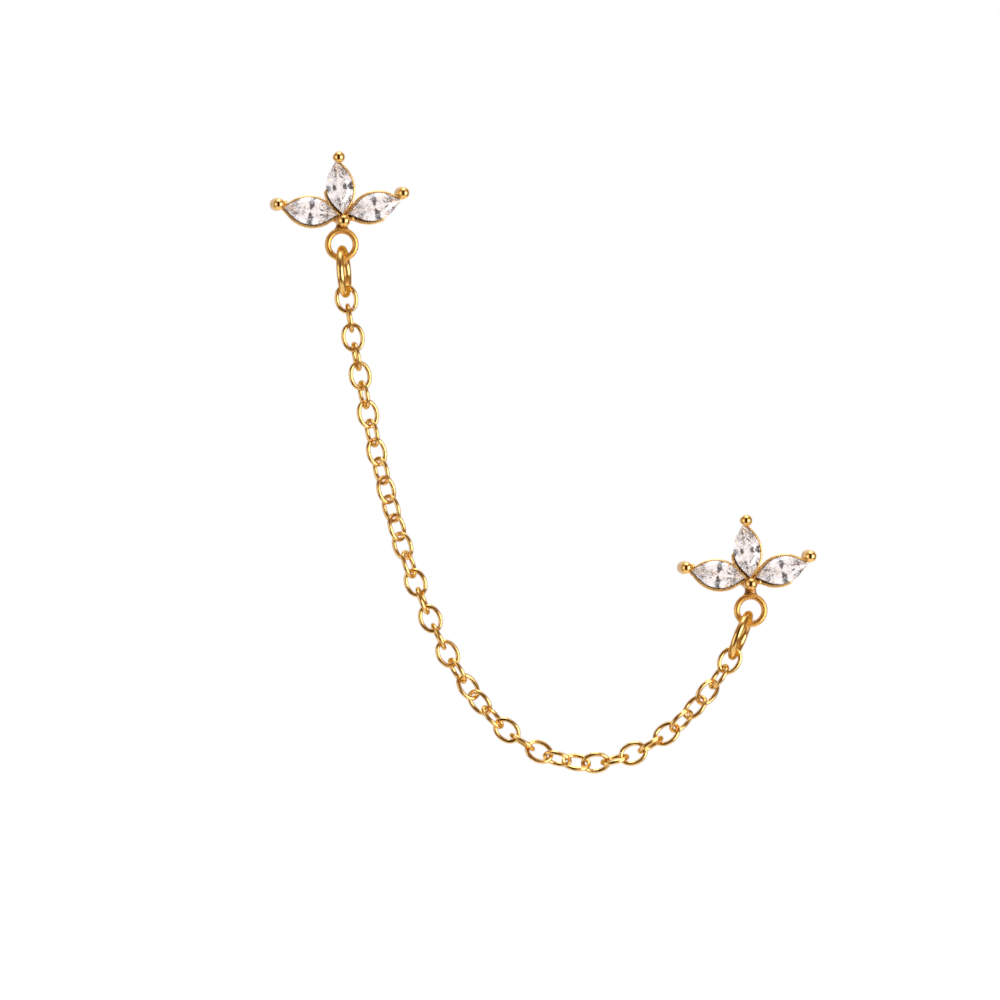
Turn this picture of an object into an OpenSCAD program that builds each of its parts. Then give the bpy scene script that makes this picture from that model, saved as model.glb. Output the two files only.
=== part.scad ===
// Ear chain earring: two three-petal studs joined by a hanging cable chain.
// Frame: +Z up, +X to the viewer's right, the posts go back along +Y.
// The origin is on the upper stud's post axis, on the back face of its setting.

/* [Studs] */
// Sideways distance between the two posts
post_span_x = 30.3; // [26:0.1:33]
// Height of the upper post over the lower one
post_span_z = 26.9; // [22:0.1:30]
// Lean of each stud to the left
stud_lean = 3.75; // [0:0.25:8]
// Diameter of the ear posts
post_d = 0.8; // [0.7:0.05:1]
// Length of the ear posts behind the setting
post_len = 9.5; // [6:0.5:12]
// Height of the post axis over the middle ball
post_up = 0.8; // [0.6:0.05:1]
// Length of the tapered end of a post
post_tip = 0.3; // [0.2:0.05:0.4]
// Diameter of the plate that the post is soldered to
plate_d = 1.8; // [1.5:0.1:2]
// Thickness of that plate
plate_t = 0.2; // [0.15:0.01:0.24]

/* [Stones] */
// Length of a marquise stone
stone_len = 4; // [3.5:0.1:4.4]
// Width of a marquise stone
stone_wid = 2; // [1.8:0.05:2.2]
// Half of the angle at a stone's tips
stone_tip = 38; // [35:1:42]
// Height of a stone's crown
crown_h = 0.33; // [0.25:0.01:0.4]
// Thickness of a stone's girdle
girdle_t = 0.07; // [0.04:0.01:0.1]
// Depth of a stone's pavilion
pavilion_h = 0.78; // [0.6:0.01:0.8]
// Width of a stone's table as a share of the stone
table_share = 0.56; // [0.45:0.01:0.65]
// Angle from the middle petal to a side petal
petal_spread = 79; // [76:1:84]
// Lean of the middle petal within the stud
middle_lean = 4; // [0:1:5]

/* [Settings] */
// Width of the wire rails around the stones
rail_w = 0.16; // [0.15:0.01:0.22]
// Height of the wire rails, from back to front
rail_h = 0.25; // [0.2:0.01:0.3]
// Distance from the back of the setting to the front of the upper rail
setting_h = 1; // [0.9:0.01:1.1]
// How far the upper rail lies outside the stone's outline
rail_gap = 0.03; // [0.02:0.01:0.04]
// Gap between a stone's girdle and the metal that reaches over it, sideways
stone_gap = 0.03; // [0.02:0.01:0.05]
// Gap between a stone's girdle and the upper rail, from back to front
seat_gap = 0.15; // [0.14:0.01:0.18]
// How far the lower rail lies inside the stone's outline
lower_inset = 0.1; // [0.05:0.01:0.15]
// Height over the middle ball of the point where the petals' axes meet
hub_up = 0.32; // [0.28:0.01:0.36]
// Diameter of the middle ball
middle_ball_d = 0.95; // [0.9:0.01:1]
// Diameter of the balls at the outer tips
tip_ball_d = 0.85; // [0.8:0.01:0.9]
// Diameter of the prong behind the outer ball of each side petal
side_prong_d = 0.76; // [0.6:0.02:0.76]
// Diameter of the prong behind the top ball
top_prong_d = 0.56; // [0.5:0.01:0.58]
// Diameter of the stem behind the middle ball
stem_d = 0.7; // [0.65:0.01:0.8]
// How far the balls' centres lie in front of the upper rail
ball_front = 0.3; // [0.25:0.01:0.35]
// Diameter of the small solder beads
bead_d = 0.34; // [0.3:0.01:0.4]

/* [Eye rings] */
// Outer diameter of the soldered eye ring
eye_d = 2.5; // [2.3:0.05:2.7]
// Diameter of its wire
eye_wire = 0.45; // [0.38:0.01:0.48]
// Distance from the upper middle ball's centre down to its eye ring's centre
upper_eye_drop = 1.83; // [1.78:0.01:1.95]
// Distance from the lower middle ball's centre down to its eye ring's centre
lower_eye_drop = 2.03; // [1.95:0.01:2.1]
// How far the upper eye ring's centre lies to the left of its middle ball
upper_eye_left = 0.1; // [0:0.01:0.15]
// How far the lower eye ring's centre lies to the right of its middle ball
lower_eye_right = 0.03; // [0:0.01:0.1]
// Width of the neck where it meets the eye ring
neck_foot_d = 0.86; // [0.7:0.02:0.9]
// Width of the neck at the middle ball
neck_top_d = 0.76; // [0.6:0.02:0.8]

/* [Jump rings] */
// Outer diameter of the jump rings
jump_d = 3.9; // [3.5:0.05:4.2]
// Diameter of their wire
jump_wire = 0.58; // [0.5:0.01:0.6]
// Gap between an eye ring and its jump ring where they bear on each other
eye_gap = 0.16; // [0.1:0.01:0.2]
// Opening left between the ends of a jump ring
jump_slit = 0.06; // [0.04:0.01:0.1]
// Tilt of the upper jump ring's bottom to the right
upper_tilt = 4.5; // [0:0.5:8]
// Tilt of the lower jump ring's bottom to the left
lower_tilt = 22; // [15:0.5:26]
// Turn of a jump ring's far side to the right
jump_turn = 13; // [0:1:20]

/* [Chain] */
// Lean of the chain's bow to the left
hang_lean = 1.8; // [0:0.1:3]
// Number of links
link_count = 39; // [36:1:44]
// Outer length of a link
link_len = 2.21; // [2.15:0.01:2.3]
// Outer width of a link
link_wid = 1.74; // [1.66:0.01:1.8]
// Diameter of a link's wire
link_wire = 0.32; // [0.28:0.01:0.34]
// Radius of a link's round ends, along the middle of its wire
link_end_r = 0.56; // [0.52:0.01:0.6]
// Gap between a link and the next link or jump ring where they bear on each other
link_gap = 0.125; // [0.125:0.005:0.15]

/* [Hidden] */
$fn = 48;

GOLD = "#E6B455";
CLEAR = "#ECE8E6";

// A petal is a row of PETALS. Its columns: angle from the stud's own upright, inner tip from the
// hub as a share of the middle ball, outer ball beyond the outer tip and to its left as shares
// of that ball, the rails' shift outward and to the left as shares of their width, the rails'
// turn to the left, and the prong's diameter.
PETALS = [
    [petal_spread, 0.47, 0.49, -0.24, -0.10, 0.35, 0, side_prong_d],
    [middle_lean, 0.10, 0.26, -0.30, -0.60, 0.35, -4, top_prong_d],
    [-petal_spread, 0.47, 0.34, 0.55, -0.80, -0.05, 4, side_prong_d]
];
ANGLE = 0;
INNER = 1;
BALL_OUT = 2;
BALL_LEFT = 3;
RAIL_OUT = 4;
RAIL_LEFT = 5;
RAIL_TURN = 6;
PRONG_D = 7;

// A solder bead is a row of BEADS. Its columns: petal, end of the petal (-1 inner, 1 outer),
// then its place beyond that tip and to the left, as shares of the bead.
BEADS = [
    [0, 1, -0.60, -1.35],
    [2, 1, -0.35, 1.28],
    [0, -1, -0.45, 1.25],
    [2, -1, -0.45, -1.25]
];

// The twist of the chain. Its columns: share of the way along the chain, and turn of the
// even links out of the picture plane, which grows to about one full turn.
TWIST = [
    [0, -5], [0.13, 15], [0.21, 28], [0.32, 44], [0.39, 68], [0.46, 87], [0.53, 108],
    [0.58, 138], [0.65, 180], [0.71, 212], [0.79, 258], [0.87, 300], [0.95, 330], [1, 355]
];

// Diameter of the rods that tie the rails to the prongs
rod_d = rail_h * 0.8;

// Heights over the back face, counted towards the front
girdle_back = setting_h + seat_gap;
girdle_front = girdle_back + girdle_t;
ball_h = setting_h + ball_front;
seat_back = setting_h + seat_gap / 3;
seat_front = girdle_front + crown_h / 2;
eye_h = setting_h * 0.6;
bead_h = setting_h - bead_d * 0.3;

// Turn of a bead about its poles, which lie sideways, clear of the rail's edges
bead_seam = 50;

// The stone's outline: a round belly between straight flanks
belly_sink = (stone_len * sin(stone_tip) - stone_wid) / (2 * (1 - cos(stone_tip)));
belly_steps = 6;

// Sizes along the middle of the wires
eye_r = (eye_d - eye_wire) / 2;
jump_r = (jump_d - jump_wire) / 2;
link_half = (link_len - link_wire) / 2;
link_side = (link_wid - link_wire) / 2;
link_side_r = (pow(link_half - link_end_r, 2) + pow(link_side, 2) - pow(link_end_r, 2))
    / (2 * (link_side - link_end_r));
link_turn = atan2(link_side_r - link_side, link_half - link_end_r);

// Directions in which a link's wire looks out of its oval, with more of them round the ends
end_steps = 4;
side_steps = 3;
wire_sides = 6;
LINK_TURNS = [
    for (half = [0, 180])
        each concat(
            [for (k = [0:end_steps - 1]) half + link_turn * (2 * k / end_steps - 1)],
            [for (k = [0:side_steps - 1]) half + link_turn + (180 - 2 * link_turn) * k / side_steps]
        )
];

// Steps from one piece of the chain to the next
jump_drop = eye_r + jump_r - (eye_wire + jump_wire) / 2 - eye_gap;
link_pitch = 2 * link_half - link_wire - link_gap;
link_lead = link_half - (jump_wire + link_wire) / 2 - link_gap;
chain_length = 2 * link_lead + (link_count - 1) * link_pitch;

// Points in the picture plane, as [right, up]
upper_post = [0, 0];
lower_post = [post_span_x, -post_span_z];
lean_up = [-sin(stud_lean), cos(stud_lean)];
upper_ball = upper_post - post_up * lean_up;
lower_ball = lower_post - post_up * lean_up;
upper_eye = upper_ball - [upper_eye_left, upper_eye_drop];
lower_eye = lower_ball - [-lower_eye_right, lower_eye_drop];
upper_jump = upper_eye + jump_drop * [sin(upper_tilt), -cos(upper_tilt)];
lower_jump = lower_eye + jump_drop * [-sin(lower_tilt), -cos(lower_tilt)];
chain_from = upper_jump + jump_r * [sin(upper_tilt), -cos(upper_tilt)];
chain_to = lower_jump + jump_r * [-sin(lower_tilt), -cos(lower_tilt)];

// The catenary through both ends with the chain's length, turned by the lean
function turned(place, angle) = [
    place[0] * cos(angle) - place[1] * sin(angle),
    place[0] * sin(angle) + place[1] * cos(angle)
];
function sinh(v) = (exp(v) - exp(-v)) / 2;
function asinh(v) = ln(v + sqrt(v * v + 1));
function catenary_scale(width, need, low, high, steps = 50) =
    let (mid = (low + high) / 2)
    steps == 0 ? mid
    : 2 * mid * sinh(width / (2 * mid)) > need
        ? catenary_scale(width, need, mid, high, steps - 1)
        : catenary_scale(width, need, low, mid, steps - 1);

hang = turned(chain_to - chain_from, hang_lean);
hang_scale = catenary_scale(hang[0], sqrt(pow(chain_length, 2) - pow(hang[1], 2)),
    hang[0] / 20, hang[0] * 20);
hang_middle = hang_scale
    * asinh(hang[1] / (2 * hang_scale * sinh(hang[0] / (2 * hang_scale))));
hang_start = hang_scale * sinh((hang_middle - hang[0] / 2) / hang_scale);

// Place and slope of the catenary at a distance along the chain
function hang_at(along) =
    let (
        s = hang_start + along,
        right = hang_scale * (asinh(s / hang_scale) - asinh(hang_start / hang_scale)),
        up = sqrt(pow(hang_scale, 2) + s * s) - sqrt(pow(hang_scale, 2) + pow(hang_start, 2)),
        place = chain_from + turned([right, up], -hang_lean)
    )
    [place[0], place[1], atan2(s, hang_scale) - hang_lean];

// An even count of links takes a quarter turn more, so that both end links face alike
extra_twist = link_count % 2 == 0 ? 90 : 0;
function link_roll(i) =
    let (share = i / (link_count - 1))
    90 * i + lookup(share, TWIST) + extra_twist * share;

// Outline of a stone, grown by a distance all round, from its outer tip on
function belly(grow, from) = [
    for (k = [0:belly_steps])
        let (a = from - stone_tip + 2 * stone_tip * k / belly_steps)
        (belly_sink + stone_wid / 2 + grow) * [cos(a), sin(a)]
            - belly_sink * [0, sin(from)]
];
function outline(grow) =
    let (tip = stone_len / 2 + grow / sin(stone_tip))
    concat([[tip, 0]], belly(grow, 90), [[-tip, 0]], belly(grow, 270));

// Middle of a link's wire where it looks in a direction: on the round ends or on the long sides
function link_middle(turn) =
    abs(cos(turn)) >= cos(link_turn) - 0.001
        ? [sign(cos(turn)) * (link_half - link_end_r), 0] + link_end_r * [cos(turn), sin(turn)]
        : [0, sign(sin(turn)) * (link_side - link_side_r)] + link_side_r * [cos(turn), sin(turn)];

function ring_points(points, share, height, first, step) = [
    for (k = [first:step:len(points) - 1])
        [points[k][0] * share, points[k][1] * share, height]
];

// Point on a petal's rails at a distance from their middle towards the outer tip
function rail_point(p, out) =
    rail_w * [p[RAIL_OUT], p[RAIL_LEFT]] + out * [cos(p[RAIL_TURN]), sin(p[RAIL_TURN])];

// Distance from the hub to a petal's middle
function petal_reach(p) = p[INNER] * middle_ball_d + stone_len / 2;

// Moves its children to a petal's middle, with +X outward and +Z to the front
module on_petal(p) {
    translate([0, 0, -post_up + hub_up])
        rotate([90, 0, 0])
            rotate(90 + p[ANGLE])
                translate([petal_reach(p), 0, 0])
                    children();
}

// Leans its children about a post, which is at their origin
module on_post(post) {
    translate([post[0], 0, post[1]])
        rotate([0, -stud_lean, 0])
            children();
}

// A cut marquise stone with a table, star, main and half facets, hulled from its corners
module marquise_stone(p) {
    rim = outline(0);
    corners = concat(
        ring_points(rim, table_share, girdle_front + crown_h, 0, 2),
        ring_points(rim, 0.79, girdle_front + crown_h * 0.64, 1, 2),
        ring_points(rim, 1, girdle_front, 0, 1),
        ring_points(rim, 1, girdle_back, 0, 1),
        ring_points(rim, 0.26, girdle_back - pavilion_h * 0.78, 1, 2),
        [[0, 0, girdle_back - pavilion_h]]
    );
    color(CLEAR)
        on_petal(p)
            hull()
                polyhedron(points = corners, faces = [[for (k = [0:len(corners) - 1]) k]]);
}

// One flat wire rail around a stone
module rail(inner, front) {
    translate([0, 0, front - rail_h])
        linear_extrude(rail_h)
            difference() {
                polygon(outline(inner + rail_w));
                polygon(outline(inner));
            }
}

// A round rod between two points at one height
module rod(from, to, height, d) {
    run = to - from;
    translate([from[0], from[1], height])
        rotate([0, 90, atan2(run[1], run[0])])
            cylinder(h = norm(run), d = d);
}

// The rails of one petal with its solder beads, and the prong and the ball at its outer tip
module petal_basket(i) {
    p = PETALS[i];
    ball_at = [stone_len / 2 + p[BALL_OUT] * tip_ball_d, p[BALL_LEFT] * tip_ball_d];
    shift = rail_w * [p[RAIL_OUT], p[RAIL_LEFT]];
    lower_tip = stone_len / 2 - (lower_inset + rail_w / 2) / sin(stone_tip);
    upper_tip = stone_len / 2 + (rail_gap + rail_w / 2) / sin(stone_tip);
    translate([shift[0], shift[1], 0])
        rotate(p[RAIL_TURN]) {
            rail(rail_gap, setting_h);
            rail(-lower_inset - rail_w, rail_h);
        }
    translate([ball_at[0], ball_at[1], 0]) {
        cylinder(h = ball_h, d = p[PRONG_D]);
        translate([0, 0, ball_h])
            sphere(d = tip_ball_d);
    }
    rod(ball_at, rail_point(p, upper_tip), setting_h - rail_h / 2, rod_d);
    rod(ball_at, rail_point(p, lower_tip), rail_h / 2, rod_d);
    for (b = BEADS)
        if (b[0] == i)
            translate([b[1] * (stone_len / 2 + b[2] * bead_d), b[3] * bead_d, bead_h])
                rotate([0, 90, 0])
                    rotate(bead_seam)
                        sphere(d = bead_d);
}

// Room for the stones in the balls and prongs that reach over them
module seats() {
    for (p = PETALS)
        on_petal(p)
            translate([0, 0, seat_back])
                linear_extrude(seat_front - seat_back)
                    polygon(outline(stone_gap));
}

// The middle ball on its stem, the post and the plate that it is soldered to
module stud_core() {
    translate([0, 0, -post_up])
        rotate([90, 0, 0]) {
            cylinder(h = ball_h, d = stem_d);
            translate([0, 0, ball_h])
                sphere(d = middle_ball_d);
        }
    rotate([90, 0, 0])
        cylinder(h = plate_t, d = plate_d);
    rotate([-90, 0, 0]) {
        cylinder(h = post_len - post_tip, d = post_d);
        translate([0, 0, post_len - post_tip])
            cylinder(h = post_tip, d1 = post_d, d2 = post_d / 2);
    }
}

// The eye ring with its neck, which stands straight up to the height of the middle ball
module eye_ring(eye, drop) {
    translate([eye[0], -eye_h, eye[1]]) {
        rotate([90, 0, 0])
            rotate_extrude()
                translate([eye_r, 0])
                    circle(d = eye_wire);
        translate([0, 0, eye_r])
            cylinder(h = drop - eye_r, d1 = neck_foot_d, d2 = neck_top_d);
    }
}

// One stud's soldered metal: rails, prongs, balls, beads, post, plate, neck and eye ring
module setting(post, eye, drop) {
    color(GOLD) {
        on_post(post)
            difference() {
                union() {
                    for (i = [0:len(PETALS) - 1])
                        on_petal(PETALS[i])
                            petal_basket(i);
                    stud_core();
                }
                seats();
            }
        eye_ring(eye, drop);
    }
}

// An open ring, butted at the bottom of its far side
module jump_ring(center, tilt) {
    slit_turn = 2 * asin(jump_slit / (2 * jump_r));
    color(GOLD)
        translate([center[0], -eye_h, center[1]])
            rotate([0, tilt, 0])
                rotate([90, 0, 90 - jump_turn])
                    rotate(-60)
                        rotate_extrude(angle = 360 - slit_turn)
                            translate([jump_r, 0])
                                circle(d = jump_wire);
}

// An oval link of wire, whose rings of corners follow four arcs that run into each other
module link() {
    count = len(LINK_TURNS);
    corners = [
        for (turn = LINK_TURNS)
            for (k = [0:wire_sides - 1])
                let (a = 360 * k / wire_sides, out = link_wire / 2 * cos(a))
                concat(link_middle(turn) + out * [cos(turn), sin(turn)], link_wire / 2 * sin(a))
    ];
    faces = [
        for (i = [0:count - 1])
            for (k = [0:wire_sides - 1])
                let (
                    j = (i + 1) % count,
                    m = (k + 1) % wire_sides,
                    a = i * wire_sides + k,
                    b = j * wire_sides + k,
                    c = j * wire_sides + m,
                    d = i * wire_sides + m
                )
                each [[a, d, c], [a, c, b]]
    ];
    polyhedron(points = corners, faces = faces);
}

// All links, hung on the catenary and twisted along it
module chain() {
    color(GOLD)
        for (i = [0:link_count - 1])
            let (at = hang_at(link_lead + i * link_pitch))
            translate([at[0], -eye_h, at[1]])
                rotate([0, -at[2], 0])
                    rotate([90 - link_roll(i), 0, 0])
                        link();
}

setting(upper_post, upper_eye, upper_eye_drop);  // setting_upper
on_post(upper_post) marquise_stone(PETALS[0]);  // stone_upper_left
on_post(upper_post) marquise_stone(PETALS[1]);  // stone_upper_middle
on_post(upper_post) marquise_stone(PETALS[2]);  // stone_upper_right
setting(lower_post, lower_eye, lower_eye_drop);  // setting_lower
on_post(lower_post) marquise_stone(PETALS[0]);  // stone_lower_left
on_post(lower_post) marquise_stone(PETALS[1]);  // stone_lower_middle
on_post(lower_post) marquise_stone(PETALS[2]);  // stone_lower_right
jump_ring(upper_jump, -upper_tilt);  // jump_ring_upper
jump_ring(lower_jump, lower_tilt);  // jump_ring_lower
chain();
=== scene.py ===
# %% [markdown]
# # Ear chain earring
# Two small studs, each a flower of three marquise stones, carry a cable chain between them. The
# real piece is made of gold plated brass wire and cast parts, soldered together, with cut cubic
# zirconia in the three petals. The part's exact solids come in as a fixed frame, and this lesson
# dresses them: it models the wires with their real round section, and gives metal and stones
# their finish.

# %% Load the frame
import math
import bpy
import numpy as np
from mathutils import Matrix, Vector


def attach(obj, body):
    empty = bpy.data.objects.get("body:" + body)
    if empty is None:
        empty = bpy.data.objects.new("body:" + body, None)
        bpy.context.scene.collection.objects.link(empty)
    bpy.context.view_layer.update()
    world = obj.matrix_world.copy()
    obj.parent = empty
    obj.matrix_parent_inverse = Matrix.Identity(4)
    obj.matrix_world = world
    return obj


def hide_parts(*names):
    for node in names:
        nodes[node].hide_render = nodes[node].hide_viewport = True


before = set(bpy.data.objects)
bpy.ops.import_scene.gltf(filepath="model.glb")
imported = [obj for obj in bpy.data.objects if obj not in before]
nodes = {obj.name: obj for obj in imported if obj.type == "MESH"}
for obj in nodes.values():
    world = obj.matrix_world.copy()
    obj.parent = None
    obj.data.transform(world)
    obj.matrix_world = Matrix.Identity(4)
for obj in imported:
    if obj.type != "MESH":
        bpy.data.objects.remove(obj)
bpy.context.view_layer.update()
print("nodes:", sorted(nodes))

# %% [markdown]
# ## The bench
# Parts of a millimetre are awkward in metres, because many tools have thresholds made for larger
# things. So each piece is modelled on a bench where one unit is a millimetre, and is moved into
# the frame at the end by a matrix that also scales it to metres. The matrix goes into the mesh,
# so that the finished object itself stays at the origin.

# %% Bench helpers
MM = 0.001
TO_METRES = Matrix.Scale(MM, 4)
# Points closer than this, in millimetres, are one point
DOUBLED = 0.0005
# Edges that turn by less than this, in degrees, are shaded smooth
SMOOTH_TURNED = 50
SMOOTH_WIRE = 80
# Steps round a small turned part
TURN_STEPS = 40


def pick(*objects):
    """Selects these objects only, with the first one active."""
    bpy.ops.object.select_all(action="DESELECT")
    for o in objects:
        o.select_set(True)
    bpy.context.view_layer.objects.active = objects[0]


def clean(obj, smooth_angle=SMOOTH_TURNED):
    """Merges doubled points, turns all faces outwards and shades the round parts smooth."""
    pick(obj)
    bpy.ops.object.mode_set(mode="EDIT")
    bpy.ops.mesh.select_all(action="SELECT")
    bpy.ops.mesh.remove_doubles(threshold=DOUBLED)
    bpy.ops.mesh.normals_make_consistent(inside=False)
    bpy.ops.object.mode_set(mode="OBJECT")
    bpy.ops.object.shade_smooth_by_angle(angle=math.radians(smooth_angle))
    return obj


def lathe(name, profile, steps=TURN_STEPS):
    """A turned part: its profile of (radius, height) points is spun round the upright axis."""
    mesh = bpy.data.meshes.new(name)
    mesh.from_pydata(
        [(r, 0, h) for r, h in profile], [(k, k + 1) for k in range(len(profile) - 1)], []
    )
    obj = bpy.data.objects.new(name, mesh)
    bpy.context.scene.collection.objects.link(obj)
    pick(obj)
    bpy.ops.object.mode_set(mode="EDIT")
    bpy.ops.mesh.select_all(action="SELECT")
    bpy.ops.mesh.spin(steps=steps, angle=math.tau, center=(0, 0, 0), axis=(0, 0, 1))
    bpy.ops.object.mode_set(mode="OBJECT")
    return clean(obj)


def bent_wire(name, points, thickness, closed=True, height=1.0, shares=None):
    """A round wire along points; height stretches its section, shares thin it at each point."""
    curve = bpy.data.curves.new(name, "CURVE")
    curve.dimensions = "3D"
    curve.bevel_depth = thickness / 2
    curve.bevel_resolution = 3
    curve.use_fill_caps = not closed
    spline = curve.splines.new("POLY")
    spline.points.add(len(points) - 1)
    for point, (x, y, z), share in zip(spline.points, points, shares or [1] * len(points)):
        point.co = (x, y, z / height, 1)
        point.radius = share
    spline.use_cyclic_u = closed
    obj = bpy.data.objects.new(name, curve)
    bpy.context.scene.collection.objects.link(obj)
    pick(obj)
    bpy.ops.object.convert(target="MESH")
    obj = bpy.context.object
    obj.data.transform(Matrix.Diagonal((1, 1, height, 1)))
    return clean(obj, SMOOTH_WIRE)


def copy_to(obj, *matrices):
    """A copy of a bench part with its own mesh, moved by the matrices, the last one first."""
    twin = obj.copy()
    twin.data = obj.data.copy()
    bpy.context.scene.collection.objects.link(twin)
    place = Matrix.Identity(4)
    for m in matrices:
        place = place @ m
    twin.data.transform(place)
    return twin


def join(parts, name):
    """Joins bench parts into one piece."""
    pick(*parts)
    bpy.ops.object.join()
    piece = bpy.context.object
    piece.name = piece.data.name = name
    return piece


def cut(obj, cutter):
    """Cuts one bench part out of another and leaves the cutter alone."""
    pick(obj)
    bpy.ops.object.modifier_add(type="BOOLEAN")
    knife = obj.modifiers[-1]
    knife.operation = "DIFFERENCE"
    knife.solver = "EXACT"
    knife.object = cutter
    bpy.ops.object.modifier_apply(modifier=knife.name)
    return obj


def discard(*objects):
    """Removes bench parts that have done their work."""
    for o in objects:
        bpy.data.objects.remove(o)


# %% [markdown]
# ## Colours and nodes
# Colours are written as the hex values that a picture editor shows, and one function turns them
# into the linear values that the renderer works with.

# %% Colour and node helpers
def colour(hex_value):
    """Linear red, green, blue and alpha from an sRGB hex value."""
    parts = [int(hex_value[k:k + 2], 16) / 255 for k in (1, 3, 5)]
    return [v / 12.92 if v <= 0.04045 else ((v + 0.055) / 1.055) ** 2.4 for v in parts] + [1]


def add_node(tree, kind, settings=None, links=None, values=None):
    """Adds a node with its settings, its input links and its input values."""
    node = tree.nodes.new(kind)
    for key, value in (settings or {}).items():
        setattr(node, key, value)
    for key, value in (values or {}).items():
        node.inputs[key].default_value = value
    for key, source in (links or {}).items():
        tree.links.new(source, node.inputs[key])
    return node


def new_material(name):
    """An empty material with its output node."""
    material = bpy.data.materials.new(name)
    material.use_nodes = True
    tree = material.node_tree
    tree.nodes.clear()
    return material, tree, tree.nodes.new("ShaderNodeOutputMaterial")


def dress(obj, *materials):
    """Gives an object these materials only."""
    obj.data.materials.clear()
    for m in materials:
        obj.data.materials.append(m)


# %% [markdown]
# ## Gold plating
# Yellow gold plate over polished brass is a pure metal to the eye: it has no colour of its own
# apart from its warm reflections. Tumble polishing leaves it bright, with a very slight waviness
# of about a millimetre, and handling leaves a faint unevenness of gloss.

# %% Gold material
# Length of the waviness, and size of the patches of uneven gloss
GOLD_WAVE_MM = 1.1
GOLD_GRAIN_MM = 0.9
# The grain's noise lies mostly in this range, and moves the roughness by this share
GRAIN_RANGE = (0.3, 0.7)
GLOSS_SHARE = 0.15


def gold_plate(name, base, deep, rim, roughness, wave):
    """Gold plating: base, deep and rim colour, roughness, and height of its waviness in mm."""
    material, tree, output = new_material(name)
    place = add_node(tree, "ShaderNodeTexCoord").outputs["Object"]
    waves = add_node(
        tree, "ShaderNodeTexNoise", links={"Vector": place},
        values={"Scale": 1 / (GOLD_WAVE_MM * MM), "Detail": 0.0}
    )
    grain = add_node(
        tree, "ShaderNodeTexNoise", links={"Vector": place},
        values={"Scale": 1 / (GOLD_GRAIN_MM * MM), "Detail": 2.0}
    )
    gloss = add_node(
        tree, "ShaderNodeMapRange", links={"Value": grain.outputs["Fac"]},
        values={"From Min": GRAIN_RANGE[0], "From Max": GRAIN_RANGE[1],
                "To Min": roughness * (1 - GLOSS_SHARE), "To Max": roughness * (1 + GLOSS_SHARE)}
    )
    tone = add_node(
        tree, "ShaderNodeMix", settings={"data_type": "RGBA"},
        links={"Factor": waves.outputs["Fac"]},
        values={"A": colour(deep), "B": colour(base)}
    )
    bump = add_node(
        tree, "ShaderNodeBump", links={"Height": waves.outputs["Fac"]},
        values={"Strength": 1.0, "Distance": wave * MM}
    )
    shader = add_node(
        tree, "ShaderNodeBsdfPrincipled",
        links={"Base Color": tone.outputs["Result"], "Roughness": gloss.outputs["Result"],
               "Normal": bump.outputs["Normal"]},
        values={"Metallic": 1.0, "Specular Tint": colour(rim)}
    )
    tree.links.new(shader.outputs["BSDF"], output.inputs["Surface"])
    return material


# Drawn wire of the links and jump rings: glossy, so that each wire shows a dark and a light line
wire_gold = gold_plate("satin_gold_plated_wire", "#F0C87C", "#DBAC60", "#CE9E56", 0.15, 0.003)
# Balls, beads, plate and post, tumbled bright: they mirror the whole room
cast_gold = gold_plate("tumbled_gold_plated_casting", "#F5CC80", "#E9B864", "#E2B468", 0.12, 0.006)
# Feet of the prongs, out of the wheel's reach: matt, and coloured pale as painted light, so they
# look pale from every side
pale_painted_gold = gold_plate("matt_gold_plated_foot_painted_pale", "#F2DCBA", "#E8CDA6", "#EFD6B4", 0.42, 0.003)
# Inner walls below the stones, rough, and dark gold as painted shade: a fine dark line round each
# stone
shade_painted_gold = gold_plate("gold_with_painted_shade_in_the_recess", "#6E4418", "#341C08", "#6A4018", 0.4, 0.002)
# Bent rails, softened by the polishing wheel: their light spreads along the wire
rail_gold = gold_plate("satin_gold_plated_rail", "#F8D28C", "#EDBE70", "#ECC684", 0.34, 0.004)
# Eye rings, worn a little wavy: broad soft lights, no sharp ones
ring_gold = gold_plate("satin_gold_plated_ring", "#F5C46C", "#DCA04C", "#C08A44", 0.4, 0.012)
# Solder on the necks, rough and mottled, with painted shade: coloured dark brown for the shadow
# under the ball
neck_gold_painted_shade = gold_plate("rough_gold_with_painted_shade_on_the_neck", "#D0A468", "#6E4C24", "#A87C44", 0.3, 0.02)

# %% [markdown]
# ## Cubic zirconia
# Cubic zirconia bends light far more than glass does, with an index of 2.15. Light that enters
# the crown is thrown back by the flat pavilion facets, so the cut itself makes the play of white
# and dark. The facets must be truly flat, and the CAD stones' facets are, so the stones stay.

# %% Stone material
ZIRCONIA_INDEX = 2.15


def cut_zirconia(name):
    """Clear stone with perfectly polished facets."""
    material, tree, output = new_material(name)
    shader = add_node(
        tree, "ShaderNodeBsdfPrincipled",
        values={"Base Color": colour("#FFFDFC"), "Roughness": 0.0, "IOR": ZIRCONIA_INDEX,
                "Transmission Weight": 1.0}
    )
    tree.links.new(shader.outputs["BSDF"], output.inputs["Surface"])
    return material


zirconia = cut_zirconia("cut_cubic_zirconia")
stones = [nodes[n] for n in sorted(nodes) if n.startswith("stone")]
for stone in stones:
    dress(stone, zirconia)
for ring in ("jump_ring_upper", "jump_ring_lower"):
    dress(nodes[ring], wire_gold)
print("stones:", len(stones))

# %% [markdown]
# ## A cable link
# A link is a short length of drawn wire, bent round an oval former and butted. A Bezier circle
# pulled out to the oval gives the line, and a round bevel gives the wire. The butt joint is a
# thin slot cut near one end, as the real links are left unsoldered.

# %% Model one link
LINK_LENGTH = 2.21
LINK_WIDTH = 1.74
LINK_WIRE = 0.32
# Width of the butt's slot, and its place round the oval in degrees
LINK_SLOT = 0.035
SLOT_TURN = 32
# Fineness round the wire and along it
LINK_WIRE_STEPS = 6
LINK_LINE_STEPS = 20

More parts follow.
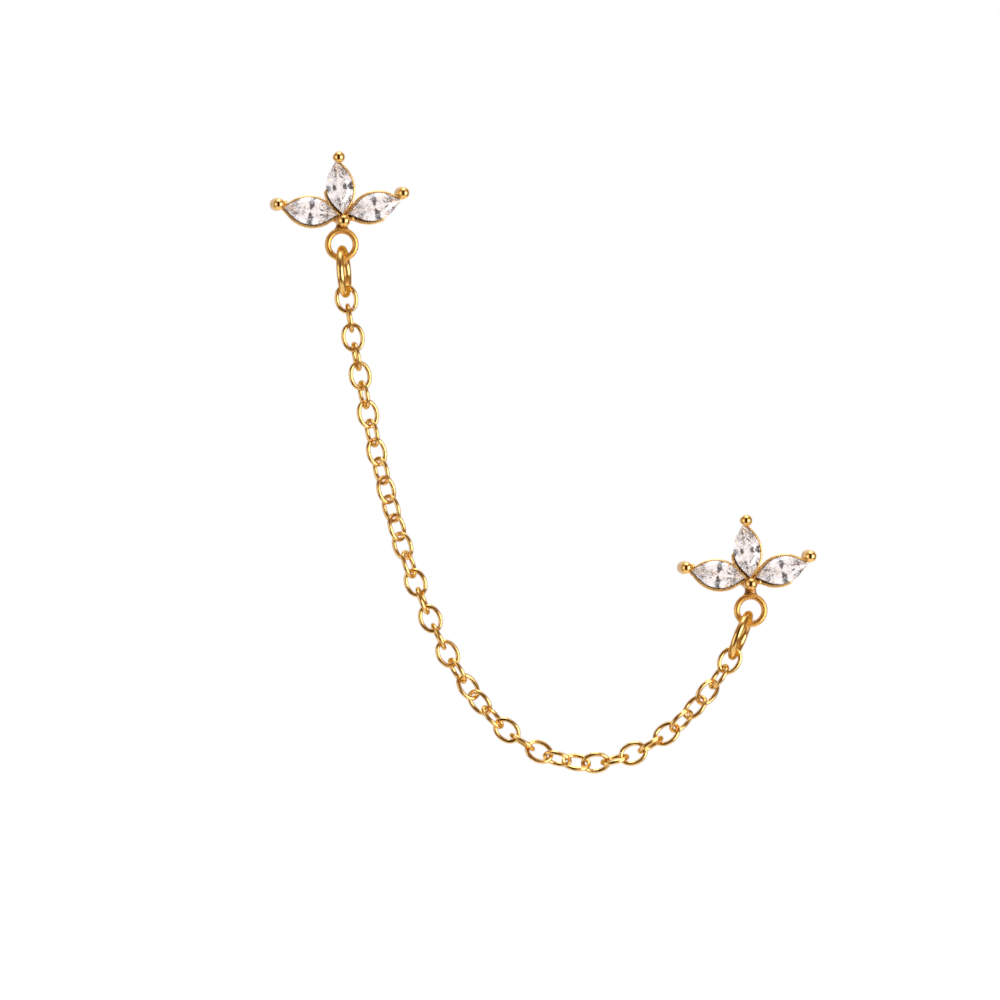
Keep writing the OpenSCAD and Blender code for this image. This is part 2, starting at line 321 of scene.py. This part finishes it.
half_long = (LINK_LENGTH - LINK_WIRE) / 2
half_wide = (LINK_WIDTH - LINK_WIRE) / 2
bpy.ops.curve.primitive_bezier_circle_add(radius=1)
link_line = bpy.context.object
bpy.ops.object.mode_set(mode="EDIT")
bpy.ops.curve.select_all(action="SELECT")
bpy.ops.transform.resize(value=(half_long, half_wide, 1))
bpy.ops.object.mode_set(mode="OBJECT")
link_line.data.bevel_depth = LINK_WIRE / 2
link_line.data.bevel_resolution = LINK_WIRE_STEPS
link_line.data.resolution_u = LINK_LINE_STEPS
pick(link_line)
bpy.ops.object.convert(target="MESH")
link = clean(bpy.context.object, SMOOTH_WIRE)

turn = math.radians(SLOT_TURN)
slot_at = (half_long * math.cos(turn), half_wide * math.sin(turn), 0)
slot_turn = math.atan2(half_wide * math.cos(turn), -half_long * math.sin(turn))
bpy.ops.mesh.primitive_cube_add(size=1, location=slot_at, rotation=(0, 0, slot_turn),
                                scale=(LINK_SLOT, 2 * LINK_WIRE, 2 * LINK_WIRE))
slot_knife = bpy.context.object
cut(link, slot_knife)
discard(slot_knife)
clean(link)
print("link faces:", len(link.data.polygons))

# %% [markdown]
# ## The chain
# Each finished link lies exactly on a link of the CAD chain. A copy of that node is split into
# its loose links, and the spread of each one's points gives its middle and its three directions:
# the longest, the next, and the thin one through the oval. Links are threaded either way round,
# so some are turned end for end or over, and their slots don't line up.

# %% Hang the links
chain_copy = nodes["chain"].copy()
chain_copy.data = nodes["chain"].data.copy()
chain_copy.parent = None
bpy.context.scene.collection.objects.link(chain_copy)
pick(chain_copy)
bpy.ops.object.mode_set(mode="EDIT")
bpy.ops.mesh.select_all(action="SELECT")
bpy.ops.mesh.remove_doubles(threshold=0.001 * MM)
bpy.ops.mesh.separate(type="LOOSE")
bpy.ops.object.mode_set(mode="OBJECT")
loose_links = list(bpy.context.selected_objects)

places = []
for loose in loose_links:
    points = np.array([v.co for v in loose.data.vertices])
    middle = points.mean(0)
    spread, directions = np.linalg.eigh(np.cov((points - middle).T))
    along = Vector(directions[:, 2])
    across = Vector(directions[:, 1])
    if along.x < 0:
        along = -along
    if across.y > 0:
        across = -across
    places.append((middle, along, across))
discard(*loose_links)
places.sort(key=lambda place: place[0][0])

links = []
for number, (middle, along, across) in enumerate(places):
    if number % 3 == 1:
        along = -along
    if number % 4 > 1:
        across = -across
    through = along.cross(across)
    place = Matrix.Translation(middle) @ Matrix((along, across, through)).transposed().to_4x4()
    links.append(copy_to(link, place, TO_METRES))
discard(link)
cable = join(links, "cable_links")
dress(cable, wire_gold)
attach(cable, "root")
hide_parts("chain")
print("links:", len(places))

# %% [markdown]
# ## A petal's basket
# Each stone sits in a basket of two wires, bent to the marquise outline: an upper one just behind
# the stone's edge and a smaller one at the back. Both are tied to a prong at the petal's outer
# tip, which ends in a ball over the stone. The outline is a round belly between straight flanks,
# worked out once and grown or shrunk for each wire.

# %% The marquise outline
STONE_LENGTH = 4.0
STONE_WIDTH = 2.0
TIP_HALF_ANGLE = 38
BELLY_STEPS = 14

tip_sine = math.sin(math.radians(TIP_HALF_ANGLE))
tip_cosine = math.cos(math.radians(TIP_HALF_ANGLE))
belly_sink = (STONE_LENGTH * tip_sine - STONE_WIDTH) / (2 * (1 - tip_cosine))


def marquise(grow, height):
    """Points round a marquise that is the stone's outline grown all round."""
    tip = STONE_LENGTH / 2 + grow / tip_sine
    radius = belly_sink + STONE_WIDTH / 2 + grow
    points = []
    for side in (1, -1):
        points.append((side * tip, 0))
        for k in range(BELLY_STEPS + 1):
            a = math.radians(side * 90 + TIP_HALF_ANGLE * (2 * k / BELLY_STEPS - 1))
            points.append((radius * math.cos(a), radius * math.sin(a) - side * belly_sink))
    return [(x, y, height) for x, y in points]


# %% Sizes of the stud
# Lengths in millimetres and angles in degrees. Shares are of the ball's, rail's or bead's width.
HUB_UP = 0.32
POST_UP = 0.8
STUD_LEAN = 3.75
MIDDLE_BALL = 0.95
TIP_BALL = 0.85
BALL_HEIGHT = 1.3
SETTING_HEIGHT = 1.0
RAIL_WIDTH = 0.16
RAIL_WIRES = {"left": 0.2, "middle": 0.17, "right": 0.2}
RAIL_HEIGHT = 0.25
RAIL_GAP = 0.03
LOWER_INSET = 0.1
STONE_GAP = 0.03
# Heights of the seat's back and front over the back of the setting
SEAT = (1.05, 1.385)
SIDE_PRONG = 0.76
TOP_PRONG = 0.56
STEM = 0.7
BEAD = 0.34
BEAD_SINK = 0.3
TIE_SHARE = 0.8
PRONG_FLARE = {"left": 0.2, "middle": 0.0, "right": 0.2}
STEM_FOOT = 0.92
HUB_SINK = 0.07
# Place of the lower stud from the upper one
LOWER_STUD = (30.3, 0, -26.9)

# Angle, inner tip, ball outward, ball to the left, rails outward, rails to the left, rails' turn
# and prong
PETALS = {
    "left": (79, 0.47, 0.49, -0.24, -0.10, 0.35, 0, SIDE_PRONG),
    "middle": (4, 0.10, 0.26, -0.30, -0.60, 0.10, -4, TOP_PRONG),
    "right": (-79, 0.47, 0.34, 0.55, -0.80, -0.05, 4, SIDE_PRONG),
}
# Petal, end of the petal, place beyond that tip and to the left as shares of the bead
BEADS = [
    ("left", 1, -0.15, -1.15),
    ("right", 1, -0.35, 1.28),
    ("left", -1, -0.45, 1.25),
    ("right", -1, -0.45, -1.25),
]

# %% Tuck the upper wire in
# On one side of a petal (1 left, -1 right) the upper wire runs in under the stone and thins, over
# this stretch of the petal's axis.
TUCKED = {"middle": (1, -0.3, 0.05), "right": (-1, 0.45, 0.8)}
TUCK = 0.17
TUCKED_WIRE = 0.5


def tuck_share(petal, x, y):
    """How far a point of a petal's outline is tucked in, from 0 to 1."""
    side, start, end = TUCKED.get(petal, (0, 0, 1))
    if y * side <= 0:
        return 0
    share = min(1, max(0, (x - start) / (end - start)))
    return share * share * (3 - 2 * share)


def tucked_line(petal, grow, height):
    """A grown outline with its tucked stretch, and the share of the wire at each point."""
    points = []
    shares = []
    for outer, inner in zip(marquise(grow, height), marquise(grow - TUCK, height)):
        share = tuck_share(petal, outer[0], outer[1])
        points.append(tuple(Vector(outer).lerp(Vector(inner), share)))
        shares.append(1 - TUCKED_WIRE * share)
    return points, shares


def petal_frame(petal):
    """Bench matrix of a petal: X outward, Y to its left, Z to the front."""
    angle, inner = PETALS[petal][:2]
    reach = inner * MIDDLE_BALL + STONE_LENGTH / 2
    return (
        Matrix.Translation((0, 0, HUB_UP - POST_UP))
        @ Matrix.Rotation(math.radians(90), 4, "X")
        @ Matrix.Rotation(math.radians(90 + angle), 4, "Z")
        @ Matrix.Translation((reach, 0, 0))
    )


# %% [markdown]
# ## Prong and ball
# A prong is a short post whose end was melted into a ball, so the two flow into each other. A
# profile spun round its axis gives just that: a rounded foot, the shank, a hollow curve and the
# ball. Where the stone's edge slips under the ball, a seat is cut.

# %% Turn the prong
# Rounded edge of the foot inwards and upwards, top of the foot, start of the even shank
FOOT_EDGE = 0.06
FOOT_EDGE_UP = 0.07
FOOT_TOP = 0.35
SHANK_FROM = 0.6
# The ball starts where it is nearly as thin as the shank, which narrows a little before it
BALL_START = 0.94
NECK_LENGTH = 0.12
NECK_THINNED = 0.012
BALL_STEPS = 18


def ball_on_post(name, ball, post, height, foot):
    """A turned post with a thicker foot and with a ball at its front end."""
    start = math.asin(min(1, BALL_START * post / ball))
    arc = [
        (ball / 2 * math.sin(a), height - ball / 2 * math.cos(a))
        for a in np.linspace(start, math.pi, BALL_STEPS)
    ]
    arc[-1] = (0, height + ball / 2)
    neck = arc[0][1]
    shank = [
        (0, 0), (foot / 2 - FOOT_EDGE, 0), (foot / 2 - 0.02, 0.02), (foot / 2, FOOT_EDGE_UP),
        (foot / 2, FOOT_TOP), (0.35 * foot / 2 + 0.65 * post / 2, SHANK_FROM),
        (post / 2, neck - NECK_LENGTH), (post / 2 - NECK_THINNED, neck - 0.05)
    ]
    return lathe(name, shank + arc)


# %% The seat's cutter
seat_points = marquise(STONE_GAP, SEAT[0])
seat_mesh = bpy.data.meshes.new("seat")
seat_mesh.from_pydata(seat_points, [], [list(range(len(seat_points)))])
seat = bpy.data.objects.new("seat", seat_mesh)
bpy.context.scene.collection.objects.link(seat)
pick(seat)
bpy.ops.object.mode_set(mode="EDIT")
bpy.ops.mesh.select_all(action="SELECT")
bpy.ops.mesh.extrude_region_move(TRANSFORM_OT_translate={"value": (0, 0, SEAT[1] - SEAT[0])})
bpy.ops.object.mode_set(mode="OBJECT")
clean(seat)

# %% [markdown]
# A thin bearing of sheet metal closes the slit between rail and stone. It slopes back under the
# stone's edge, and its dark colour is painted shade, so from the front it reads as a fine dark
# line.

# %% The bearing under a stone's edge
# Distance outside the stone's outline and height, of the band's outer and inner edge
BEARING_OUTSIDE = (RAIL_GAP + RAIL_WIDTH / 2, 0.92)
BEARING_INSIDE = (-0.16, 0.84)


def sloping_band(name, outer_line, inner_line):
    """A band round a marquise, between two lines with as many points each."""
    count = len(outer_line)
    mesh = bpy.data.meshes.new(name)
    mesh.from_pydata([*outer_line, *inner_line], [], [
        (k, (k + 1) % count, count + (k + 1) % count, count + k) for k in range(count)
    ])
    obj = bpy.data.objects.new(name, mesh)
    bpy.context.scene.collection.objects.link(obj)
    return obj


# %% Build the three baskets
stud_parts = []
rails = []
bearings = []
prongs = []
for petal, (_, _, ball_out, ball_left, rail_out, rail_left, rail_turn, prong_d) in PETALS.items():
    at_petal = petal_frame(petal)
    at_rails = (
        Matrix.Translation((rail_out * RAIL_WIDTH, rail_left * RAIL_WIDTH, 0))
        @ Matrix.Rotation(math.radians(rail_turn), 4, "Z")
    )
    ball_at = (STONE_LENGTH / 2 + ball_out * TIP_BALL, ball_left * TIP_BALL)
    levels = (
        ("upper", RAIL_GAP + RAIL_WIDTH / 2, SETTING_HEIGHT - RAIL_HEIGHT / 2),
        ("lower", -LOWER_INSET - RAIL_WIDTH / 2, RAIL_HEIGHT / 2),
    )
    for level, grow, height in levels:
        wire = RAIL_WIRES[petal]
        if level == "upper":
            line, shares = tucked_line(petal, grow, height)
        else:
            line, shares = marquise(grow, height), None
        rail = bent_wire(f"rail_{level}", line, wire, height=RAIL_HEIGHT / wire, shares=shares)
        tip = at_rails @ Vector((STONE_LENGTH / 2 + grow / tip_sine, 0, height))
        tie = bent_wire(
            f"tie_{level}", [(*ball_at, height), tip], RAIL_HEIGHT * TIE_SHARE, closed=False
        )
        rails.append(copy_to(rail, at_petal, at_rails))
        stud_parts.append(copy_to(tie, at_petal))
        discard(rail, tie)
    bearing = sloping_band(
        "bearing", [at_rails @ Vector(point) for point in tucked_line(petal, *BEARING_OUTSIDE)[0]],
        marquise(*BEARING_INSIDE)
    )
    bearings.append(copy_to(bearing, at_petal))
    discard(bearing)
    foot_d = prong_d + PRONG_FLARE[petal]
    prong = ball_on_post("prong", TIP_BALL, prong_d, BALL_HEIGHT, foot_d)
    this_prong = copy_to(prong, Matrix.Translation((*ball_at, 0)))
    cut(this_prong, seat)
    prongs.append(copy_to(clean(this_prong), at_petal))
    discard(prong, this_prong)
    for where, end, beyond, left in BEADS:
        if where == petal:
            bpy.ops.mesh.primitive_uv_sphere_add(
                segments=24, ring_count=12, radius=BEAD / 2,
                location=(end * (STONE_LENGTH / 2 + beyond * BEAD), left * BEAD,
                          SETTING_HEIGHT - BEAD_SINK * BEAD)
            )
            bead = bpy.context.object
            bpy.ops.object.transform_apply()
            clean(bead)
            stud_parts.append(copy_to(bead, at_petal))
            discard(bead)
discard(seat)
print("basket parts:", len(stud_parts))

# %% [markdown]
# ## Stem, post and plate
# The middle ball stands on a stem, and a small plate behind it carries the ear post. All three
# are turned parts. Their axes point to the front, so that they are spun upright first and then
# laid over.

# %% Turn the core
TO_FRONT = Matrix.Rotation(math.radians(90), 4, "X")
TO_BACK = Matrix.Rotation(math.radians(-90), 4, "X")
POST_D = 0.8
POST_LENGTH = 9.5
POST_TIP = 0.3
POST_TIP_D = 0.4
POST_ROOT = 0.1
POST_EDGE = 0.03
PLATE_D = 1.8
PLATE_T = 0.2
PLATE_BACK_EDGE = 0.04
PLATE_FRONT_EDGE = 0.06
PLATE_STEPS = 48

stem = ball_on_post("stem", MIDDLE_BALL, STEM, BALL_HEIGHT, STEM_FOOT)
plate = lathe("plate", [
    (0, 0), (PLATE_D / 2 - PLATE_BACK_EDGE, 0), (PLATE_D / 2, PLATE_BACK_EDGE),
    (PLATE_D / 2, PLATE_T - PLATE_FRONT_EDGE), (PLATE_D / 2 - PLATE_FRONT_EDGE, PLATE_T),
    (0, PLATE_T)
], PLATE_STEPS)
taper_from = POST_LENGTH - POST_TIP
post = lathe("post", [
    (0, -POST_ROOT), (POST_D / 2, -POST_ROOT), (POST_D / 2, taper_from),
    (POST_D / 2 - POST_EDGE, taper_from + POST_EDGE),
    (POST_TIP_D / 2 + POST_EDGE, POST_LENGTH - POST_EDGE),
    (POST_TIP_D / 2 - 0.02, POST_LENGTH), (0, POST_LENGTH)
])
prongs.append(copy_to(stem, Matrix.Translation((0, 0, -POST_UP - HUB_SINK)), TO_FRONT))
stud_parts += [
    copy_to(plate, TO_FRONT),
    copy_to(post, TO_BACK),
]
discard(stem, plate, post)
lean = Matrix.Rotation(math.radians(-STUD_LEAN), 4, "Y")
for part in stud_parts + rails + prongs + bearings:
    part.data.transform(lean)

# %% [markdown]
# The prongs and the stem stand a little aslant, with their feet to the left of their balls, and
# no polishing wheel gets at them there: the feet stay matt, and their pale colour is painted
# light.

# %% Set the prongs aslant
# Shift to the left for each millimetre below a height, and the height under which metal is matt
# and painted pale as painted light
SLANT = 0.12
SLANT_UNDER = 1.0
MATT_AND_PAINTED_PALE_UNDER = 0.84
for part in stud_parts:
    dress(part, cast_gold)
for part in rails:
    dress(part, rail_gold)
for part in prongs:
    for corner in part.data.vertices:
        corner.co.x -= SLANT * max(0, SLANT_UNDER + corner.co.y)
    # The feet's pale gold is painted light: it makes them paler than the polished gold above
    dress(part, cast_gold, pale_painted_gold)
    for face in part.data.polygons:
        face.material_index = 1 if -face.center.y < MATT_AND_PAINTED_PALE_UNDER else 0
stud_parts += rails + prongs

# %% [markdown]
# ## Eye rings
# An eye ring hangs straight down under the middle ball, whatever the stud's lean. A torus is
# the closed ring, and a flared collar of solder joins it to the ball. The lower stud's ring was
# soldered a little lower than the upper one's.

# %% Model an eye ring
EYE_D = 2.5
EYE_WIRE = 0.45
EYE_DEPTH = 0.6
# Place of each eye off its middle ball, to the right and up
UPPER_EYE = (-0.1, -1.83)
LOWER_EYE = (0.03, -2.03)
# The neck is flattened from front to back by this share, and lies this far behind the eye
NECK_DEPTH_SHARE = 0.5
NECK_BACK = 0.12
# Steps round the ring and round its wire
RING_STEPS = (128, 32)

eye_r = (EYE_D - EYE_WIRE) / 2
ball_place = Vector((POST_UP * math.sin(math.radians(STUD_LEAN)), 0,
                     -POST_UP * math.cos(math.radians(STUD_LEAN))))


def eye_ring(right, up):
    """The bench parts of a stud's eye ring and its neck, from its place off the middle ball."""
    place = ball_place + Vector((right, -EYE_DEPTH, up))
    bpy.ops.mesh.primitive_torus_add(
        major_segments=RING_STEPS[0], minor_segments=RING_STEPS[1],
        major_radius=eye_r, minor_radius=EYE_WIRE / 2
    )
    ring = clean(bpy.context.object, SMOOTH_WIRE)
    reach = -up - eye_r
    neck = lathe("neck", [
        (0, -0.05), (0.56, -0.05), (0.55, 0.1), (0.48, 0.2), (0.43, 0.3), (0.4, reach - 0.4),
        (0.36, reach - 0.36), (0, reach - 0.36)
    ])
    parts = [
        copy_to(ring, Matrix.Translation(place), TO_FRONT),
        copy_to(neck, Matrix.Translation(place + Vector((0, NECK_BACK, eye_r))),
                Matrix.Diagonal((1, NECK_DEPTH_SHARE, 1, 1))),
    ]
    discard(ring, neck)
    dress(parts[0], ring_gold)
    # The neck's dark brown is painted shade under the ball
    dress(parts[1], neck_gold_painted_shade)
    return parts


# %% Set both studs in place
for level, place, eye_place in (("upper", Vector((0, 0, 0)), UPPER_EYE),
                                ("lower", Vector(LOWER_STUD), LOWER_EYE)):
    to_place = Matrix.Translation(place)
    eye_parts = eye_ring(*eye_place)
    metal = join([copy_to(part, to_place) for part in stud_parts + eye_parts],
                 f"stud_metal_{level}")
    recess = join([copy_to(part, to_place) for part in bearings], f"stone_bearings_{level}")
    discard(*eye_parts)
    # The bearings' dark gold is painted shade in the slit round each stone
    dress(recess, shade_painted_gold)
    for piece in (metal, recess):
        piece.data.transform(TO_METRES)
        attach(piece, "root")
    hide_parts(f"setting_{level}")
    print("stud faces:", len(metal.data.polygons))
discard(*stud_parts, *bearings)

# %% [markdown]
# ## Camera
# The photograph was taken from a little to the left of the studs and level with them, through a
# long lens. The point at the middle of the picture and the scale fix the rest. A wide pixel filter
# softens the finest lines to about a pixel, as the lens did.

# %% Place the camera
CAMERA_TURN = math.radians(5)
PIXELS_PER_METRE = 13500
PICTURE_SIDE = 1000
LENS = 600
SENSOR = 36
# Width of the pixel filter, in pixels
SOFTNESS = 1.9
# The point of the frame, in millimetres, at the middle of the picture
PICTURE_MIDDLE = (11.676, -1.0216, -21.546)
look = Vector((math.sin(CAMERA_TURN), math.cos(CAMERA_TURN), 0))
aim = Vector(PICTURE_MIDDLE) * MM
distance = LENS / SENSOR * PICTURE_SIDE / PIXELS_PER_METRE
camera_data = bpy.data.cameras.new("camera")
camera_data.lens = LENS
camera_data.sensor_width = SENSOR
camera_data.clip_start = 0.01
camera_data.clip_end = 10
camera = bpy.data.objects.new("camera", camera_data)
camera.location = aim - look * distance
camera.rotation_mode = "QUATERNION"
camera.rotation_quaternion = look.to_track_quat("-Z", "Y")
bpy.context.scene.collection.objects.link(camera)
bpy.context.scene.camera = camera
bpy.context.scene.cycles.filter_width = SOFTNESS
print("camera distance:", round(distance, 3))

# %% [markdown]
# ## Studio
# Polished metal shows nothing but the room. A jewellery tent is white all round, with a dark
# slot where the camera looks in, bright diffusers left and right of it, and a dimmer back. The
# world is that tent, and the camera itself sees plain white behind the piece. A pale floor lies
# well below.

# %% Light the tent
# How far the edges of windows, of dark slots and of the strip overhead fade
WINDOW_SOFT = 0.12
SLOT_SOFT = 0.09
OVERHEAD_SOFT = 0.06
world = bpy.data.worlds.new("tent")
bpy.context.scene.world = world
world.use_nodes = True
sky = world.node_tree
sky.nodes.clear()


def sky_math(operation, *inputs):
    """One sum in the tent's nodes, from numbers and outputs."""
    node = add_node(sky, "ShaderNodeMath", settings={"operation": operation})
    for socket, value in zip(node.inputs, inputs):
        if isinstance(value, (int, float)):
            socket.default_value = value
        else:
            sky.links.new(value, socket)
    return node.outputs["Value"]


def sky_step(value, low, high):
    """Rises smoothly from 0 to 1 between low and high."""
    node = add_node(
        sky, "ShaderNodeMapRange", settings={"interpolation_type": "SMOOTHSTEP"},
        links={"Value": value}, values={"From Min": low, "From Max": high}
    )
    return node.outputs["Result"]


def sky_patch(turn_range, height_range, soft):
    """1 inside a window of the tent, given by turn in degrees and height from -1 to 1."""
    turn_low, turn_high = (math.radians(v) for v in turn_range)
    inside = sky_math(
        "MULTIPLY",
        sky_step(turned, turn_low - soft, turn_low + soft),
        sky_step(turned, turn_high + soft, turn_high - soft),
    )
    upright = sky_math(
        "MULTIPLY",
        sky_step(height, height_range[0] - soft, height_range[0] + soft),
        sky_step(height, height_range[1] + soft, height_range[1] - soft),
    )
    return sky_math("MULTIPLY", inside, upright)


direction = add_node(sky, "ShaderNodeTexCoord").outputs["Generated"]
axes = add_node(sky, "ShaderNodeSeparateXYZ", links={"Vector": direction})
turned = sky_math("ARCTAN2", axes.outputs["X"], sky_math("MULTIPLY", axes.outputs["Y"], -1))
turned = sky_math("ADD", turned, CAMERA_TURN)
height = axes.outputs["Z"]

# %% Hang the windows
# Turn, height and brightness of each window over the tent's plain cloth
CLOTH = 0.14
WINDOWS = [
    ((34, 66), (-0.4, 0.3), 7.0),
    ((-84, -48), (-0.4, 0.3), 1.7),
    ((-110, 110), (-0.9, 0.9), 0.3),
    ((120, 200), (-0.9, 0.9), 0.85),
    ((-200, -120), (-0.9, 0.9), 0.85),
    ((-200, 200), (0.8, 1.5), 0.8),
    ((-200, 200), (-1.5, -0.72), 0.95),
]
# Brightness of the strip of light overhead, which runs from front to back, its half width, and
# the heights between which it sets in
OVERHEAD = 5.0
OVERHEAD_HALF = 0.22
OVERHEAD_FROM = (0.86, 0.96)
# Turn and height of what is dark in it, and the share of the light that is left there
SLOTS = [
    ((-30, 10), (-0.86, 0.92), 0.0),
    ((-114, -94), (-0.8, 0.8), 0.5),
    ((90, 112), (-0.8, 0.8), 0.5),
]
glow = CLOTH
for turns, heights, level in WINDOWS:
    glow = sky_math("MULTIPLY_ADD", sky_patch(turns, heights, WINDOW_SOFT), level, glow)
aside = sky_math("ABSOLUTE", axes.outputs["X"])
strip = sky_math(
    "MULTIPLY", sky_step(height, *OVERHEAD_FROM),
    sky_step(aside, OVERHEAD_HALF + OVERHEAD_SOFT, OVERHEAD_HALF - OVERHEAD_SOFT)
)
glow = sky_math("MULTIPLY_ADD", strip, OVERHEAD, glow)
for turns, heights, left in SLOTS:
    shade = sky_math("MULTIPLY_ADD", sky_patch(turns, heights, SLOT_SOFT), left - 1, 1)
    glow = sky_math("MULTIPLY", glow, shade)

# The stones gather light from all over the tent. Turn, height and share as above.
INNER_CLOTH = 1.2
INNER_SLOTS = [
    ((-18, 20), (-0.47, 0.47), 0.0),
    ((-180, 180), (-1.5, -0.6), 0.75),
]
inner_glow = INNER_CLOTH
for turns, heights, left in INNER_SLOTS:
    shade = sky_math("MULTIPLY_ADD", sky_patch(turns, heights, SLOT_SOFT), left - 1, 1)
    inner_glow = sky_math("MULTIPLY", inner_glow, shade)

# %% Colour the light
# Dim cloth gives a warm light and bright windows a cool one, between these brightnesses
WARM_BELOW = 0.05
COOL_ABOVE = 0.95
rays = add_node(sky, "ShaderNodeLightPath")
warmth = add_node(sky, "ShaderNodeValToRGB", links={"Fac": glow})
warm, cool = warmth.color_ramp.elements
warm.position = WARM_BELOW
warm.color = colour("#FFB070")
cool.position = COOL_ABOVE
cool.color = colour("#F6F7FF")
tent = add_node(sky, "ShaderNodeBackground",
                links={"Strength": glow, "Color": warmth.outputs["Color"]})
through = add_node(sky, "ShaderNodeBackground", links={"Strength": inner_glow},
                   values={"Color": colour("#FAF4F5")})
plain = add_node(sky, "ShaderNodeBackground", values={"Color": (1, 1, 1, 1), "Strength": 1.0})
seen = add_node(sky, "ShaderNodeMixShader", links={
    0: rays.outputs["Is Transmission Ray"], 1: tent.outputs[0], 2: through.outputs[0]})
room = add_node(sky, "ShaderNodeMixShader", links={
    0: rays.outputs["Is Camera Ray"], 1: seen.outputs[0], 2: plain.outputs[0]})
add_node(sky, "ShaderNodeOutputWorld", links={"Surface": room.outputs[0]})

# Light needs many bounces to find its way out of a cut stone
cycles = bpy.context.scene.cycles
cycles.max_bounces = 32
cycles.glossy_bounces = 24
cycles.transmission_bounces = 24

# %% Lay the floor
FLOOR_DROP = 0.3
FLOOR_RADIUS = 0.17
bpy.ops.mesh.primitive_circle_add(vertices=96, radius=FLOOR_RADIUS, fill_type="NGON",
                                  location=(aim.x, 0, -FLOOR_DROP))
floor = bpy.context.object
floor.name = "floor"
floor_paint, tree, output = new_material("white_floor")
paint = add_node(tree, "ShaderNodeBsdfPrincipled",
                 values={"Base Color": colour("#F6F5F3"), "Roughness": 0.9})
tree.links.new(paint.outputs["BSDF"], output.inputs["Surface"])
dress(floor, floor_paint)

# Colours are shown as they are, without a film's soft shoulder
bpy.context.scene.view_settings.view_transform = "Standard"
